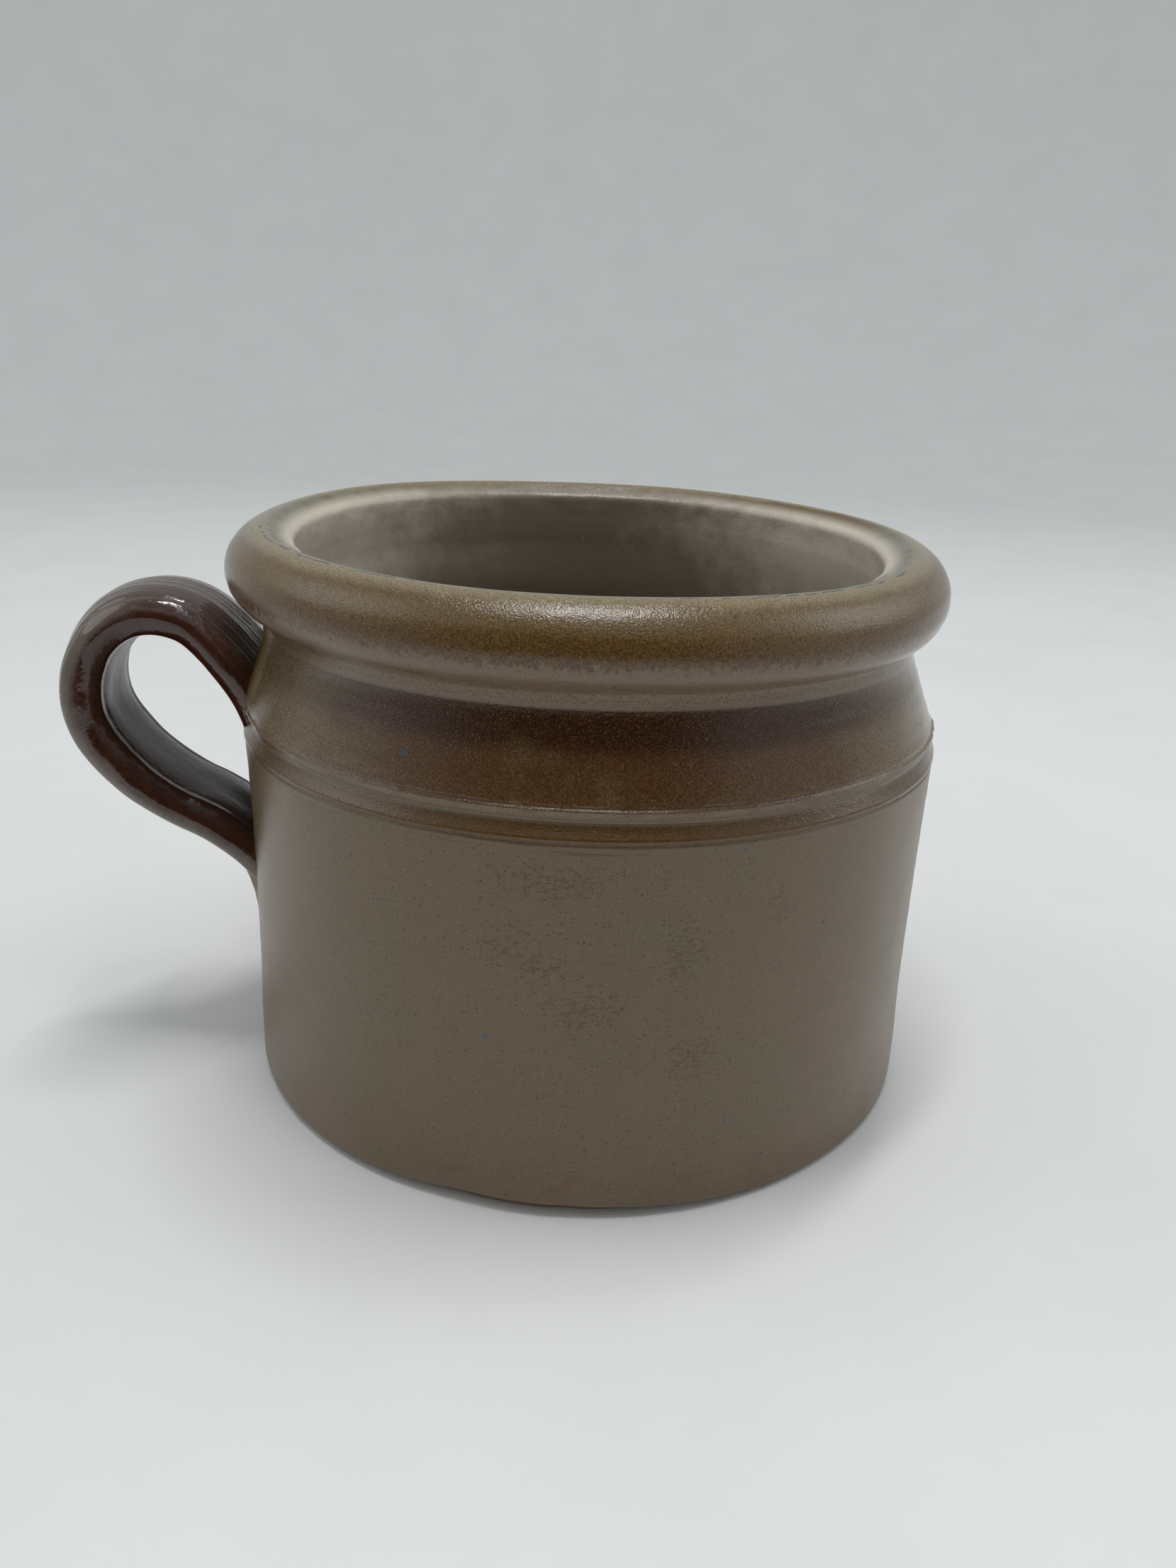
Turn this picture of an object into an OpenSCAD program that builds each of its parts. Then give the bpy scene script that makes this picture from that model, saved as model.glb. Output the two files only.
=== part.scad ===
// A salt-glazed stoneware shaving mug: a thrown body with a rolled rim, a pulled strap handle,
// and the clay that lutes the strap to the wall at its two roots.
// Millimetres. The origin is the centre of the base, +Z is up and the handle is on the -X side.

/* [Body] */
// Outer diameter across the rolled rim
rim_d = 116; // [106:1:126]
// Height from the base to the top of the rim
body_h = 91; // [86:1:104]
// Diameter of the wall at its foot and just below the shoulder
wall_d = 115; // [108:0.5:118]
// How far the wall draws in at mid height
waist_in = 0.5; // [0:0.1:1.5]
// Thickness of the wall
wall_t = 5.8; // [4.5:0.1:7]
// Thickness of the floor
floor_t = 6.5; // [5:0.5:9]
// Radius where the floor turns up into the wall, inside
floor_round = 8; // [4:1:14]
// Bevel round the edge of the base
foot_bevel = 0.6; // [0.2:0.1:1.5]

/* [Rim and shoulder] */
// Height of the rolled rim
roll_h = 12.2; // [10:0.2:13]
// Radius of the inner edge of the lip
lip_round = 1.6; // [1:0.1:2.4]
// Diameter of the neck just below the roll
neck_d = 104.6; // [102:0.2:106]
// Thickness of the wall at the neck
neck_t = 4.4; // [3.6:0.1:5.5]
// Height of the neck between the roll and the shoulder
neck_h = 4.5; // [4:0.1:5]
// How far the small ring at the neck stands out
neck_ring = 0.7; // [0.2:0.1:1]
// Height of the sloping shoulder
shoulder_h = 11.6; // [9:0.2:13]
// How far the shoulder's lower edge lies inside the wall
edge_in = 0.7; // [0.3:0.1:1.2]
// How far the groove below that edge cuts in
step_in = 0.5; // [0.2:0.1:0.8]
// Height of the band between the shoulder and the wall
band_h = 3.4; // [2.6:0.2:5]

/* [Handle] */
// Width of the strap
strap_w = 21; // [17:0.5:25]
// Thickness of the strap
strap_t = 8; // [6.5:0.5:9]
// How much wider the strap is at its upper root, as a share of its width
root_flare = 0.25; // [0:0.05:0.4]
// Distance of the strap's upper end below the top of the rim
strap_drop = 35.2; // [33:0.5:38]
// Depth of the strap's upper end inside the wall's outer face
strap_bury = 4.4; // [4:0.1:5]
// Radius of the rise out of the shoulder
rise_r = 31.5; // [29:0.5:34]
// Radius of the crown
crown_r = 11; // [10:0.5:12.5]
// Radius of the back
back_r = 14.5; // [13.5:0.5:16]
// Radius of the slope that returns to the wall
slope_r = 34; // [32:1:38]
// Radius of the tail, which bends the other way to lie on the wall
tail_r = 29.5; // [27:0.5:33]

/* [Luting] */
// How far the luting clay stands off the wall
lute_t = 1.6; // [1:0.1:2.2]
// How far it spreads to each side of the strap
lute_side = 4; // [2:0.5:6]

/* [Hidden] */

// How finely round shapes are drawn: the body's circle, the arcs in its outline (degrees a step),
// the steps up the wall, the points round the strap and the distance between its rings.
ROUND_FN = 96;
ARC_STEP = 7.5;
WAIST_STEPS = 6;
SECTION_POINTS = 20;
RING_GAP = 2.4;

// Body: radii and heights of the outline, from the foot up.
rim_r = rim_d / 2;
wall_r = wall_d / 2;
neck_r = neck_d / 2;
roll_r = roll_h / 2;
roll_at = [rim_r - roll_r, body_h - roll_r];
neck_z = body_h - roll_h - neck_h;
edge_z = neck_z - shoulder_h;
edge_r = wall_r - edge_in;
band_z = edge_z - band_h;
groove_z = edge_z - 0.45 * band_h;
ring_z = neck_z + 0.45 * neck_h;
// The angle round the roll where its underside meets the neck ring.
under_a = -80;

// Cavity: radii of the mouth, throat and belly, and the heights where each ends.
mouth_r = roll_at[0] - lip_round;
throat_r = neck_r - neck_t;
cavity_r = wall_r - wall_t;
throat_top = neck_z + 1;
throat_low = neck_z - 2;
cavity_top = edge_z - 4;

// Strap: where it starts inside the wall, the angle it rises at, and its bends as [radius, angle].
// A positive angle turns the strap down and back to the wall, a negative one away from it.
root_at = [wall_r - strap_bury, body_h - strap_drop];
rise_a = 80.1;
bends = [[rise_r, 38.3], [crown_r, 91.5], [back_r, 72.7], [slope_r, 31.7], [tail_r, -27.4]];
// The share of the strap's length over which the flare at its upper root dies away.
flare_end = 0.35;

// Luting pads: the height of each pad's centre, how tall it is, and the radius of its corners.
upper_pad_z = edge_z + 3.4;
upper_pad_h = 21;
lower_pad_z = root_at[1] - 22.3;
lower_pad_h = 17;
pad_round = 6;

// Points on an arc about c, from angle a0 to a1.
function arc(c, r, a0, a1) =
    let (n = max(2, ceil(abs(a1 - a0) / ARC_STEP)))
    [for (i = [0:n]) let (a = a0 + (a1 - a0) * i / n) c + r * [cos(a), sin(a)]];

// The wall from the foot to the band, drawn in by waist_in at its middle.
function waist(grow) =
    [for (i = [0:WAIST_STEPS])
        let (u = i / WAIST_STEPS)
        [wall_r + grow - 4 * waist_in * u * (1 - u), foot_bevel + (band_z - foot_bevel) * u]];

// The outside of the body, from the axis at the base to the top of the lip.
function outside(grow = 0) = concat(
    [[0, -grow], [wall_r + grow - foot_bevel, -grow]],
    waist(grow),
    [
        [edge_r + grow - step_in, groove_z],
        [edge_r + grow, edge_z],
        [neck_r + grow, neck_z],
        [neck_r + grow + neck_ring, ring_z]
    ],
    arc(roll_at, roll_r + grow, under_a, 90)
);

// The inside of the body, from the lip down to the axis at the floor.
function inside() = concat(
    arc([roll_at[0], body_h - lip_round], lip_round, 97.5, 180),
    [
        [mouth_r, roll_at[1]],
        [throat_r, throat_top],
        [throat_r, throat_low],
        [cavity_r, cavity_top]
    ],
    arc([cavity_r - floor_round, floor_t + floor_round], floor_round, 0, -90),
    [[0, floor_t]]
);

module thrown_body() {
    color([0.36, 0.31, 0.26])
    rotate_extrude($fn = ROUND_FN)
    polygon(concat(outside(), inside()));
}

// The body with no cavity, made larger all round by grow.
module body_envelope(grow = 0) {
    rotate_extrude($fn = ROUND_FN)
    polygon(concat(outside(grow), [[0, body_h + grow]]));
}

// The strap's spine: [height, distance from the axis, heading] at each ring, bend after bend.
function spine(i = 0, r = root_at[0], z = root_at[1], a = rise_a) =
    i == len(bends) ? [[z, r, a]] :
    let (
        radius = bends[i][0],
        turn = bends[i][1],
        way = sign(turn),
        hub = [r, z] + way * radius * [sin(a), -cos(a)],
        n = ceil(abs(turn) * PI / 180 * radius / RING_GAP),
        at = function (t) hub - way * radius * [sin(a - turn * t), -cos(a - turn * t)],
        last = at(1)
    )
    concat(
        [for (k = [0:n - 1]) [at(k / n)[1], at(k / n)[0], a - turn * k / n]],
        spine(i + 1, last[0], last[1], a - turn)
    );

// One ring of the strap: flat faces with fully rounded edges, wider towards the upper root.
function ring(p, u) =
    let (
        w = strap_w * (1 + root_flare * pow(max(0, 1 - u / flare_end), 2)),
        edge_r = strap_t / 2,
        flat_half = w / 2 - edge_r
    )
    [for (k = [0:SECTION_POINTS - 1])
        let (
            q = (k + 0.5) * 360 / SECTION_POINTS,
            off = edge_r * sin(q),
            y = edge_r * cos(q) + sign(cos(q)) * flat_half
        )
        [-(p[1] - off * sin(p[2])), y, p[0] + off * cos(p[2])]];

module strap() {
    rings = spine();
    n = len(rings);
    m = SECTION_POINTS;
    polyhedron(
        points = [for (i = [0:n - 1]) each ring(rings[i], i / (n - 1))],
        faces = concat(
            [[for (k = [m - 1:-1:0]) k]],
            [for (i = [0:n - 2], k = [0:m - 1])
                let (a = i * m + k, b = i * m + (k + 1) % m)
                each [[a, b, b + m], [a, b + m, a + m]]],
            [[for (k = [0:m - 1]) (n - 1) * m + k]]
        )
    );
}

module strap_handle() {
    color([0.20, 0.12, 0.10])
    difference() {
        strap();
        body_envelope();
    }
}

// A pad of clay on the wall, round the strap where it meets the body.
module luting_pad(z, h) {
    reach = wall_r + strap_w;
    half_w = strap_w / 2 + lute_side - pad_round;
    half_h = h / 2 - pad_round;
    difference() {
        intersection() {
            body_envelope(lute_t);
            translate([-reach, 0, z])
            rotate([90, 0, 90])
            linear_extrude(reach) {
                square([2 * (half_w + pad_round), 2 * half_h], center = true);
                square([2 * half_w, h], center = true);
                for (x = [-1, 1], y = [-1, 1])
                    translate([x * half_w, y * half_h]) circle(r = pad_round, $fn = 48);
            }
        }
        body_envelope();
        strap();
    }
}

module upper_luting() {
    color([0.50, 0.45, 0.38]) luting_pad(upper_pad_z, upper_pad_h);
}

module lower_luting() {
    color([0.34, 0.27, 0.22]) luting_pad(lower_pad_z, lower_pad_h);
}

thrown_body();
strap_handle();
upper_luting();
lower_luting();
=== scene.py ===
import math

import bpy
import numpy as np
from mathutils import Matrix, Vector


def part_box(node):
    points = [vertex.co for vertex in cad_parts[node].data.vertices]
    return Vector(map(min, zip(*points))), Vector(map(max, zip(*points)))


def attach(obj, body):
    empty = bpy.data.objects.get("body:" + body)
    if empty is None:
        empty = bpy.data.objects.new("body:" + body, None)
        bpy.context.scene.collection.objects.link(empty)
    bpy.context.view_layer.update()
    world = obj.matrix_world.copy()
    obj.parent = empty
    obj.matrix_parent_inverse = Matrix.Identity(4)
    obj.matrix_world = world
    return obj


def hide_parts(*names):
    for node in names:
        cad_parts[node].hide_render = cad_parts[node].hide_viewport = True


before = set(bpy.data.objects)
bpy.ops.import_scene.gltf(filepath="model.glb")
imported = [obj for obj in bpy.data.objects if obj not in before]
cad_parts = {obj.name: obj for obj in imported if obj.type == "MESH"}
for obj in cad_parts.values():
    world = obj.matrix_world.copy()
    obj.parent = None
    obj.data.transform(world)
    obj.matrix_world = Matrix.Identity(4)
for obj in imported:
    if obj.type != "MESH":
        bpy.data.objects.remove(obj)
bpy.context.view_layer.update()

# A salt-glazed stoneware shaving mug. Shapes are worked out in millimetres about the mug's axis,
# and written to the meshes in metres. The handle is on the -X side and the camera on the -Y side.
MM = 0.001

# ---------------------------------------------------------------- sizes, from the CAD frame

body_lo, body_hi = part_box("thrown_body")

HEIGHT = body_hi[2] / MM
RIM_R = (body_hi[0] - body_lo[0]) / 2 / MM
WALL_R = RIM_R - 0.5
STRAP_W = 21.0
STRAP_T = 8.0

# The rolled rim, the neck under it and the shoulder.
ROLL_R = 6.1
ROLL_AT = np.array([RIM_R - ROLL_R, HEIGHT - ROLL_R])
ROLL_START = -70
LIP_R = 2.2
LIP_EDGE = np.array([RIM_R - 10.5, HEIGHT - 2.05])
NECK_R, NECK_Z = RIM_R - 5.7, HEIGHT - 16.7
RING_R, RING_Z = NECK_R + 0.75, NECK_Z + 2.0
EDGE_R, EDGE_Z = WALL_R - 0.7, NECK_Z - 11.6
GROOVE_R, GROOVE_Z = EDGE_R - 0.5, EDGE_Z - 1.6
BAND_R, BAND_Z = WALL_R, EDGE_Z - 3.6
LINE_Z = BAND_Z - 0.75

# The inside.
THROAT_R = NECK_R - 4.4
BELLY_R = WALL_R - 5.8
FLOOR_Z, FLOOR_ROUND = 6.5, 8.0

# How far the photograph's view is turned from square to the handle's own plane.
VIEW_TURN = math.radians(6.0)
HANDLE_SIDE = math.pi


def turned(across, away):
    """A plan vector measured across and away from the view, turned into the frame's X and Y."""
    c, s = math.cos(-VIEW_TURN), math.sin(-VIEW_TURN)
    return np.array([c * across - s * away, s * across + c * away])


# How the rim sits on the body: it was thrown a little off centre, in mm, and out of level.
RIM_SHIFT = turned(-1.04, 0.26)
RIM_TILT = turned(-0.0099, 0.039)

# ---------------------------------------------------------------- small maths


def smooth(lo, hi, x):
    """0 below lo, 1 above hi, and a smooth step between."""
    t = np.clip((x - lo) / (hi - lo), 0, 1)
    return t * t * (3 - 2 * t)


def bump_at(x, centre, half):
    """A smooth hump of height 1 at centre that reaches 0 at half to each side."""
    return smooth(1, 0, np.abs(x - centre) / half)


def noise(p, cell, seed):
    """Smooth noise from -1 to 1 at points p, an (n, 3) array, with lumps about cell across."""
    table = np.random.default_rng(seed).uniform(-1, 1, (32, 32, 32))
    q = np.asarray(p) / cell + 64.37
    i = np.floor(q).astype(int)
    f = q - i
    f = f * f * (3 - 2 * f)
    out = 0.0
    for dx in (0, 1):
        for dy in (0, 1):
            for dz in (0, 1):
                corner = table[(i[:, 0] + dx) % 32, (i[:, 1] + dy) % 32, (i[:, 2] + dz) % 32]
                w = np.abs(1 - dx - f[:, 0]) * np.abs(1 - dy - f[:, 1]) * np.abs(1 - dz - f[:, 2])
                out = out + corner * w
    return out


def angle_gap(a, b):
    """The signed difference between two angles, from -pi to pi."""
    return (a - b + math.pi) % (2 * math.pi) - math.pi


def arc(c, r, a0, a1, n=12):
    """Points on an arc about c, with angles in degrees."""
    a = np.radians(np.linspace(a0, a1, n + 1))
    return [(c[0] + r * math.cos(t), c[1] + r * math.sin(t)) for t in a]


def rounded(points):
    """A polyline from (r, z, radius) corners, with each corner rounded to its radius."""
    out = [points[0][:2]]
    for (ar, az, _), (br, bz, rad), (cr, cz, _) in zip(points, points[1:], points[2:]):
        a, b, c = np.array([ar, az]), np.array([br, bz]), np.array([cr, cz])
        u, v = (a - b) / np.linalg.norm(a - b), (c - b) / np.linalg.norm(c - b)
        half = math.acos(np.clip(np.dot(u, v), -1, 1)) / 2
        if rad <= 0 or half > math.radians(89):
            out.append((br, bz))
            continue
        reach = rad / math.tan(half)
        p, q = b + u * reach, b + v * reach
        for t in np.linspace(0, 1, 7):
            out.append(tuple(p * (1 - t) ** 2 + b * 2 * t * (1 - t) + q * t * t))
    out.append(points[-1][:2])
    return out


def spaced(points, step_at):
    """The polyline resampled so that neighbours are about step_at(point) apart."""
    p = np.array(points, float)
    d = np.r_[0, np.cumsum(np.linalg.norm(np.diff(p, axis=0), axis=1))]
    fine = np.linspace(0, d[-1], 8000)
    x = np.stack([np.interp(fine, d, p[:, 0]), np.interp(fine, d, p[:, 1])], 1)
    load = np.r_[0, np.cumsum((fine[1] - fine[0]) / step_at(x[:-1]))]
    n = int(round(load[-1]))
    at = np.interp(np.linspace(0, load[-1], n + 1), load, fine)
    return np.stack([np.interp(at, d, p[:, 0]), np.interp(at, d, p[:, 1])], 1)


# ---------------------------------------------------------------- meshes


def mesh_object(name, verts_mm, faces, attributes):
    """A smooth-shaded object. attributes are per-vertex numbers by name."""
    mesh = bpy.data.meshes.new(name)
    mesh.from_pydata((np.asarray(verts_mm) * MM).tolist(), [], faces)
    for key, values in attributes.items():
        layer = mesh.attributes.new(key, "FLOAT", "POINT")
        layer.data.foreach_set("value", np.asarray(values, np.float32))
    mesh.shade_smooth()
    mesh.validate()
    ob = bpy.data.objects.new(name, mesh)
    bpy.context.scene.collection.objects.link(ob)
    return ob


def grid_faces(rows, cols, wrap=True):
    """Quads between rows of cols points each."""
    faces = []
    for i in range(rows - 1):
        for j in range(cols if wrap else cols - 1):
            k = (j + 1) % cols
            faces.append((i * cols + j, i * cols + k, (i + 1) * cols + k, (i + 1) * cols + j))
    return faces


# How much the wall is drawn in at its waist, and how much fuller it is just above the foot.
WAIST_IN, FOOT_OUT = 0.5, 0.12


def wall_radius(z):
    """The outer wall's radius: drawn in at mid height, and a little fuller above the foot."""
    u = np.clip(z / BAND_Z, 0, 1)
    return WALL_R - 4 * WAIST_IN * u * (1 - u) + FOOT_OUT * bump_at(z, 8, 9)


def body_outline():
    """(r, z) from the centre of the base, up the outside, over the lip and down to the floor."""
    foot = [(0, 0.25), (WALL_R - 9, 0.2), (WALL_R - 6, 0.0)]
    foot += rounded([
        (WALL_R - 6, 0, 0),
        (WALL_R - 2.4, 0, 0.5),
        (WALL_R - 0.05, 0.9, 0.35),
        (wall_radius(4), 4, 0),
    ])
    wall = [(wall_radius(z), z) for z in np.linspace(4.5, LINE_Z - 1.5, 40)]
    steps = rounded([
        (wall_radius(LINE_Z - 1.2), LINE_Z - 1.2, 0),
        (BAND_R - 0.05, LINE_Z - 0.32, 0.12),
        (BAND_R - 0.30, LINE_Z, 0.10),
        (BAND_R + 0.06, LINE_Z + 0.34, 0.14),
        (BAND_R + 0.08, BAND_Z, 0.5),
        (GROOVE_R, GROOVE_Z, 0.25),
        (EDGE_R + 0.18, EDGE_Z - 0.22, 0.10),
        (EDGE_R + 0.36, EDGE_Z + 0.08, 0.16),
        (EDGE_R - 0.14, EDGE_Z + 0.38, 0.12),
        (EDGE_R - 0.20, EDGE_Z + 0.90, 0.30),
        (EDGE_R - 0.9, EDGE_Z + 2.5, 2.0),
        (NECK_R + 0.10, NECK_Z + 0.1, 0.25),
        (NECK_R + 0.06, NECK_Z + 0.70, 0.15),
        (NECK_R + 0.50, NECK_Z + 1.1, 0.12),
        (RING_R, RING_Z - 0.3, 0.4),
        (RING_R + 0.02, RING_Z + 0.7, 0.2),
        (RING_R - 0.16, RING_Z + 0.9, 0.08),
        (RING_R, RING_Z + 1.1, 0.1),
        (RING_R + 0.02, RING_Z + 1.7, 0.15),
        (RING_R - 0.20, RING_Z + 2.0, 0.1),
        (RING_R + 0.12, RING_Z + 2.3, 0.1),
        (*arc(ROLL_AT, ROLL_R, ROLL_START - 2, 0)[0], 0),
    ])
    roll = arc(ROLL_AT, ROLL_R, ROLL_START, 90, 40)
    lip = arc((ROLL_AT[0], HEIGHT - LIP_R), LIP_R, 90, 114, 6)[1:]
    inside = rounded([
        (*lip[-1], 0),
        (*LIP_EDGE, 1.2),
        (LIP_EDGE[0] - 0.15, HEIGHT - 7, 4),
        (THROAT_R, NECK_Z + 1, 14),
        (THROAT_R + 0.1, NECK_Z - 3, 14),
        (BELLY_R, EDGE_Z - 6, 18),
        (BELLY_R - 0.3, 22, 0),
    ])
    bowl = [(BELLY_R - 0.3, 18)]
    bowl += arc((BELLY_R - 0.3 - FLOOR_ROUND, FLOOR_Z + FLOOR_ROUND), FLOOR_ROUND, 0, -90, 14)
    floor = [(30, FLOOR_Z - 0.1), (12, FLOOR_Z + 0.1), (0, FLOOR_Z + 0.5)]
    return foot + wall + steps + roll + lip + inside + bowl + floor


BODY_COLS = 400

# Marks on the outside: (angle round the mug in degrees, height, half width, half height), and for
# the blue specks (angle, height, radius).
STAINS = [(-114, 4.5, 7, 3), (-102, 5.5, 6, 3), (-97, 6, 3, 2), (-60, 4.5, 3, 1.6), (-42, 5, 4, 1.6),
          (-80, 5, 2, 1.4), (-58, 42.5, 2, 1.5), (-56, 31, 2, 1.5), (20, 6, 6, 2.5), (95, 4, 9, 2)]
SCUFFS = [(-82, 42, 5, 7), (-106, 43, 6, 4), (-102, 40, 5, 4), (-68, 48, 4, 3), (-101, 53, 13, 4),
          (-80, 26, 5, 6), (-95, 34, 8, 5), (40, 36, 9, 6), (110, 45, 12, 6)]
BLUE_SPECKS = [(-122, 67.3, 0.55), (-109, 28.6, 0.6), (-74.5, 57, 0.5), (-74, 14.4, 0.45), (75, 40, 0.5)]


def body_step(x):
    """How far apart the outline's points are: close where there is detail that shows."""
    r, z = x[:, 0], x[:, 1]
    outside = r > BELLY_R + 1.5
    step = np.where(outside, 1.6, 3.0)
    step = np.where(outside & (z > LINE_Z - 1.2) & (z < RING_Z + 3), 0.16, step)
    step = np.where(outside & (z > EDGE_Z + 1) & (z < NECK_Z - 0.5), 0.6, step)
    step = np.where((z >= RING_Z + 3), 0.45, step)
    step = np.where((z < 3) & (r > WALL_R - 4), 0.35, step)
    step = np.where((z < 0.4) & (r <= WALL_R - 4), 3.5, step)
    step = np.where(~outside & (z < FLOOR_Z + 1) & (z > 1), 3.0, step)
    return step


def painted(marks, phi, z):
    """1 inside each oval mark on the wall, fading to 0 at its edge."""
    out = np.zeros_like(z)
    for angle, height, half_w, half_h in marks:
        s = angle_gap(phi, math.radians(angle)) * WALL_R / half_w
        out = np.maximum(out, smooth(1.1, 0.3, np.hypot(s, (z - height) / half_h)))
    return out


def near_angle(phi, low, high, fade):
    """1 between two angles in degrees, fading to 0 over fade degrees beyond them."""
    gap = np.degrees(np.abs(angle_gap(phi, math.radians((low + high) / 2)))) - (high - low) / 2
    return smooth(fade, 0, gap)


# How far throwing by hand moved the clay: broad lumps, small lumps and out of round.
LUMPS, SMALL_LUMPS, OVAL = 0.16, 0.05, 0.22
# The spacing and the height of the throwing rings, outside and inside.
OUTER_PITCH, OUTER_RINGS = 2.6, 0.022
INNER_PITCH, INNER_RINGS = 6.5, 0.04
# How far the foot's edge is lifted, and the facet pressed into it, at the front left.
FOOT_LIFT, FOOT_FACET = 1.3, 0.35


def thrown(r, z, phi, inner):
    """(x, y, z) of outline points after the small faults of hand throwing. inner is 0 or 1."""
    p = np.stack([r * np.cos(phi), r * np.sin(phi), z], 1)
    lump = LUMPS * noise(p, 26, 1) + SMALL_LUMPS * noise(p, 7, 2)
    oval = OVAL * np.cos(2 * (phi - 0.7))
    turns = phi / (2 * math.pi)
    inner_rings = INNER_RINGS * np.sin(2 * math.pi * (z + INNER_PITCH * turns) / INNER_PITCH)
    outer_rings = OUTER_RINGS * np.sin(2 * math.pi * (z + OUTER_PITCH * turns) / OUTER_PITCH)
    outer_rings = outer_rings + 0.012 * noise(p * [0.1, 0.1, 1], 0.9, 3)
    rings = np.where(inner > 0.5, inner_rings, outer_rings)
    side = smooth(12, 40, r)
    low_edge = bump_at(z, EDGE_Z + 0.1, 1.0) * (1 - inner)
    ragged = 0.11 * noise(p * [1, 1, 0.3], 2.4, 4) + 0.09 * noise(p * [1, 1, 0.2], 1.2, 5)
    lines = bump_at(z, RING_Z + 1.2, 2.2) + bump_at(z, LINE_Z, 1.2)
    ragged = ragged * low_edge + 0.05 * noise(p * [0.25, 0.25, 1], 0.8, 8) * lines * (1 - inner)
    lip_corner = inner * smooth(HEIGHT - 6, HEIGHT - 3.5, z)
    ragged = ragged + lip_corner * (0.13 * noise(p, 3.0, 9) + 0.05 * noise(p, 1.2, 10))
    r2 = r + side * (lump + oval + rings) + ragged
    facet = bump_at(angle_gap(phi, math.radians(-113)), 0, 0.22) * smooth(7, 0, z)
    fluting = smooth(2.5, 0, z) * (1 + noise(p, 5, 6))
    r2 = r2 - FOOT_FACET * facet * (1 - inner) - 0.12 * fluting * (1 - inner)
    level = smooth(NECK_Z + 0.6, RING_Z + 4, z)
    x = r2 * np.cos(phi) + level * RIM_SHIFT[0]
    y = r2 * np.sin(phi) + level * RIM_SHIFT[1]
    wave = 0.18 * np.sin(3 * phi + 0.5) + 0.10 * np.sin(5 * phi + 2.1)
    dz = level * (RIM_TILT[0] * r * np.cos(phi) + RIM_TILT[1] * r * np.sin(phi) + wave)
    wander = 0.12 * np.sin(phi + 0.4) + 0.10 * np.sin(2 * phi + 1.9) + 0.05 * noise(p, 9, 7)
    dz = dz + bump_at(z, EDGE_Z - 1, 8) * wander * (1 - inner)
    lift = smooth(4.5, 1.0, z) * smooth(WALL_R - 2.2, WALL_R - 0.6, r) * (1 - inner)
    dz = dz + FOOT_LIFT * lift * bump_at(angle_gap(phi, math.radians(-103)), 0, 0.75)
    nick = bump_at(angle_gap(phi, math.radians(-97)), 0, 0.035) * smooth(1.2, 0, z) * (1 - inner)
    return np.stack([x, y, z + dz + 0.5 * nick * smooth(WALL_R - 3, WALL_R, r)], 1)


def body_point(phi, z):
    """A point on the finished outer wall, for pieces that lie on it."""
    r = outer_radius(z)
    return thrown(r, z, phi, np.zeros_like(r))


def make_body():
    line = spaced(body_outline(), body_step)
    top = int(np.argmax(line[:, 1]))
    phi = np.linspace(0, 2 * math.pi, BODY_COLS, endpoint=False)
    core = line[1:-1]
    rows = len(core)
    r = np.repeat(core[:, 0], BODY_COLS)
    z = np.repeat(core[:, 1], BODY_COLS)
    a = np.tile(phi, rows)
    index = np.repeat(np.arange(1, rows + 1), BODY_COLS)
    inner = (index > top).astype(float)
    verts = thrown(r, z, a, inner)
    ends = np.array([[0, 0, line[0, 1]], [0, 0, line[-1, 1]]])
    verts = np.vstack([verts, ends])
    base_point, floor_point = rows * BODY_COLS, rows * BODY_COLS + 1
    faces = grid_faces(rows, BODY_COLS)
    last = (rows - 1) * BODY_COLS
    for j in range(BODY_COLS):
        k = (j + 1) % BODY_COLS
        faces.append((base_point, k, j))
        faces.append((floor_point, last + j, last + k))
    blend = smooth(top + 2, top + 9, index.astype(float))
    under = smooth(0.7, 0.1, z) * smooth(WALL_R - 0.2, WALL_R - 1.4, r) * (1 - inner)
    outer = 1 - inner
    # The two last values of each are for the centre of the base and the centre of the floor.
    marks = {
        "level": np.r_[z, 0, FLOOR_Z],
        "radius": np.r_[r, 0, 0],
        "inner": np.r_[blend, 0, 1],
        "under": np.r_[under, 1, 0],
        "stain": np.r_[painted(STAINS, a, z) * outer, 0, 0],
        "scuff": np.r_[painted(SCUFFS, a, z) * outer, 0, 0],
        # Partly the glaze's own colour, partly a painted dark reflection: the front of the shoulder and
        # band is painted darker and browner.
        "flash_and_dark_reflection": np.r_[near_angle(a, -118, -68, 34), 0, 0],
        # Painted light and shade inside: paler at the left and right, darker at the front and back.
        "cream": np.r_[np.cos(a) ** 2, 0, 0],
        "crack": np.r_[np.maximum(near_angle(a, -172, -122, 6), near_angle(a, -82, -36, 6)), 0, 0],
    }
    return mesh_object("glazed_body", verts, faces, marks), line[:top]


# ---------------------------------------------------------------- the strap handle

# Where the strap starts, how steeply it rises there, and its bends as (radius, angle). A positive
# angle turns it down and back to the wall, a negative one away from it.
STRAP_START = np.array([WALL_R - 5.08, HEIGHT - 39.35])
STRAP_RISE = 81.3
BENDS = [(200, 1.2), (31.5, 38.3), (11.0, 91.5), (14.5, 72.7), (34.0, 31.7), (29.5, -27.4), (12.0, -28.0)]
STRAP_STEP = 0.6
# The strap's ends stop at this radius, inside the clay of the wall.
STRAP_END_R = WALL_R - 4.2


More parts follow.
